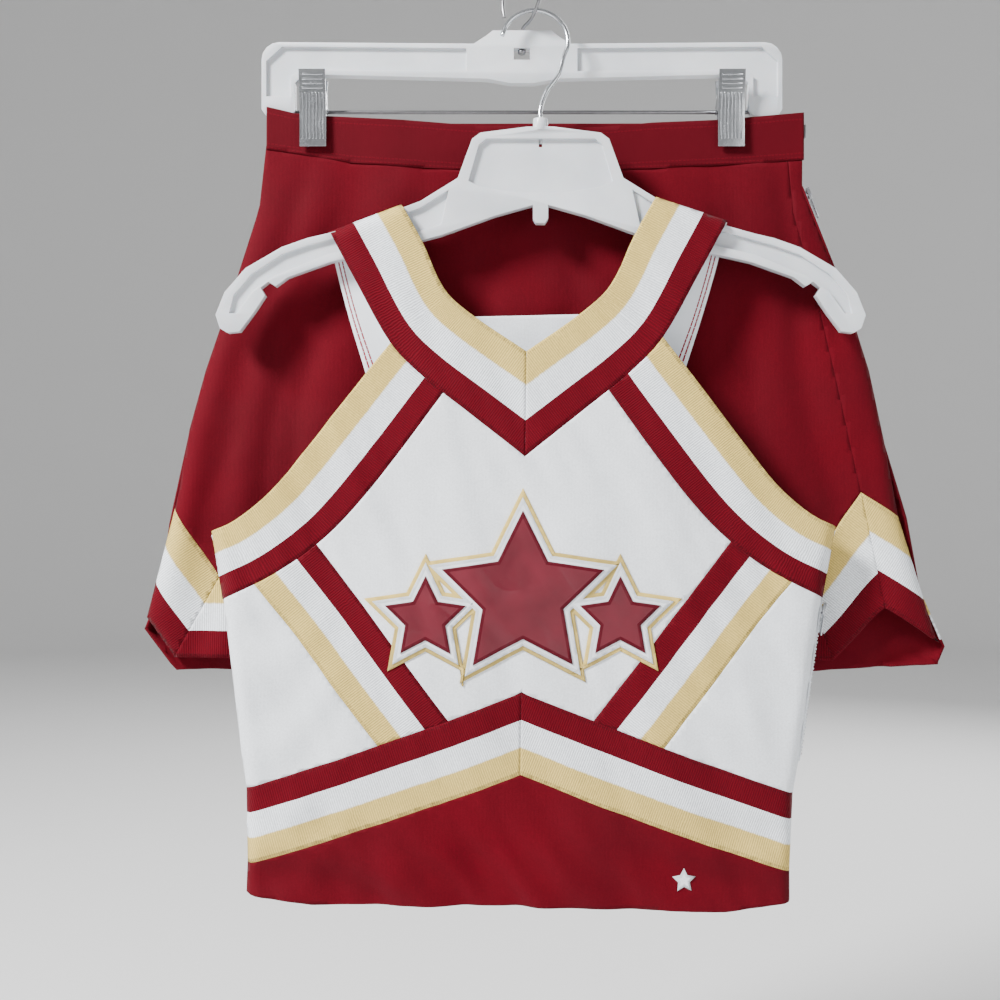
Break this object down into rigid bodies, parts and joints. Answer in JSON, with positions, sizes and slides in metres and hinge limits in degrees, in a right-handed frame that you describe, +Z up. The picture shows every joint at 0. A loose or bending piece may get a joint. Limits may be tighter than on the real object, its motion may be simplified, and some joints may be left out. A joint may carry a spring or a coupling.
{
  "type": "cheer uniform",
  "caption": "Two-piece cheer uniform: a sleeveless shell on a shirt hanger looped over the clip hanger that holds the skirt.",
  "frame": {"origin": "inside top of the clip hanger's hook, where it rests on a rail", "axes": "+Z up, +X to the wearer's left (the right of the front view), -Y towards the front of the uniform"},
  "size_m": [0.547, 0.0628, 0.6478],
  "materials": {
    "double_knit_cardinal": "double knit polyester, matt",
    "double_knit_white": "double knit polyester, matt",
    "three_stripe_braid": "ribbed knitted braid in gold, white and cardinal stripes",
    "gold_twill": "twill with a zigzag sewn edge",
    "white_twill": "twill with a zigzag sewn edge",
    "cardinal_satin": "satin, soft sheen",
    "milky_plastic": "milky moulded plastic",
    "chromed_steel": "bright plated",
    "plain_steel": "drawn wire",
    "blue_rubber": "soft clip pad"
  },
  "bodies": {
    "rail_hook": {"rail_hook": "plain_steel"},
    "clip_hanger": {"clip_hanger_body": "milky_plastic", "clip_rod": "plain_steel", "skirt_waistband_front": "double_knit_cardinal", "skirt_waistband_back": "double_knit_cardinal", "skirt_front_panel": "double_knit_cardinal", "skirt_side_panel": "double_knit_cardinal", "skirt_back_panel": "double_knit_cardinal", "skirt_hem_braid_left": "three_stripe_braid", "skirt_hem_braid_front": "three_stripe_braid", "skirt_hem_braid_notch": "three_stripe_braid", "skirt_hem_braid_right": "three_stripe_braid", "skirt_back_hem": "three_stripe_braid", "skirt_zip_tape": "double_knit_cardinal", "skirt_waist_hook": "plain_steel"},
    "left_clip": {"left_clip_rear_jaw": "chromed_steel", "left_clip_rear_pad": "blue_rubber", "left_clip_spring": "plain_steel"},
    "left_clip_jaw": {"left_clip_front_jaw": "chromed_steel", "left_clip_front_pad": "blue_rubber"},
    "right_clip": {"right_clip_rear_jaw": "chromed_steel", "right_clip_rear_pad": "blue_rubber", "right_clip_spring": "plain_steel"},
    "right_clip_jaw": {"right_clip_front_jaw": "chromed_steel", "right_clip_front_pad": "blue_rubber"},
    "shirt_hanger": {"shirt_hanger_body": "milky_plastic"},
    "shirt_hanger_hook": {"shirt_hanger_hook": "chromed_steel"},
    "shell": {"neck_braid_left": "three_stripe_braid", "neck_braid_right": "three_stripe_braid", "armhole_braid_left": "three_stripe_braid", "armhole_braid_right": "three_stripe_braid", "lozenge_braid_left": "three_stripe_braid", "lozenge_braid_right": "three_stripe_braid", "waist_braid_left": "three_stripe_braid", "waist_braid_right": "three_stripe_braid", "back_strap_left": "three_stripe_braid", "back_strap_right": "three_stripe_braid", "shoulder_left": "three_stripe_braid", "shoulder_right": "three_stripe_braid", "back_neck_braid": "three_stripe_braid", "back_waist_braid": "three_stripe_braid", "side_panel_left": "double_knit_white", "side_panel_right": "double_knit_white", "centre_panel": "double_knit_white", "back_panel": "double_knit_white", "side_seam_left": "double_knit_white", "side_seam_right": "double_knit_white", "hem_star": "double_knit_white", "hem_panel": "double_knit_cardinal", "back_hem_panel": "double_knit_cardinal", "emblem_gold_layer": "gold_twill", "emblem_white_layer": "white_twill", "emblem_star_centre": "cardinal_satin", "emblem_star_left": "cardinal_satin", "emblem_star_right": "cardinal_satin", "shell_zip_tape": "double_knit_white"},
    "shell_zip_slider": {"shell_zip_slider": "chromed_steel"},
    "skirt_zip_slider": {"skirt_zip_slider": "chromed_steel"}
  },
  "joints": [
    {"name": "rail_hook_swivel", "type": "hinge", "parent": "rail_hook", "child": "clip_hanger", "pos_m": [0, 0.014, -0.053], "axis": [0, 0, 1], "range_deg": [0, 20]},
    {"name": "left_clip_slide", "type": "slide", "parent": "clip_hanger", "child": "left_clip", "axis": [-1, 0, 0], "range_m": [0, 0.06]},
    {"name": "right_clip_slide", "type": "slide", "parent": "clip_hanger", "child": "right_clip", "axis": [1, 0, 0], "range_m": [0, 0.06]},
    {"name": "left_jaw_open", "type": "hinge", "parent": "left_clip", "child": "left_clip_jaw", "pos_m": [0.142, 0.014, -0.108], "axis": [-1, 0, 0], "range_deg": [0, 20], "stiffness_Nm_per_rad": 0.12, "springref_deg": -20.05},
    {"name": "right_jaw_open", "type": "hinge", "parent": "right_clip", "child": "right_clip_jaw", "pos_m": [-0.142, 0.014, -0.108], "axis": [-1, 0, 0], "range_deg": [0, 20], "stiffness_Nm_per_rad": 0.12, "springref_deg": -20.05},
    {"name": "shirt_hanger_swing", "type": "hinge", "parent": "clip_hanger", "child": "shirt_hanger", "pos_m": [0.008, 0.0015, -0.0465], "axis": [-1, 0, 0], "range_deg": [0, 30]},
    {"name": "shirt_hook_swivel", "type": "hinge", "parent": "shirt_hanger", "child": "shirt_hanger_hook", "pos_m": [0.012, -0.012, -0.119], "axis": [0, 0, 1], "range_deg": [-8, 12]},
    {"name": "shell_lift", "type": "slide", "parent": "shirt_hanger", "child": "shell", "axis": [0, 0, 1], "range_m": [0, 0.1]},
    {"name": "shell_zip", "type": "slide", "parent": "shell", "child": "shell_zip_slider", "axis": [-0.139, 0, -0.9903], "range_m": [0, 0.08]},
    {"name": "skirt_zip", "type": "slide", "parent": "clip_hanger", "child": "skirt_zip_slider", "axis": [0.3693, 0, -0.9293], "range_m": [0, 0.055]}
  ]
}
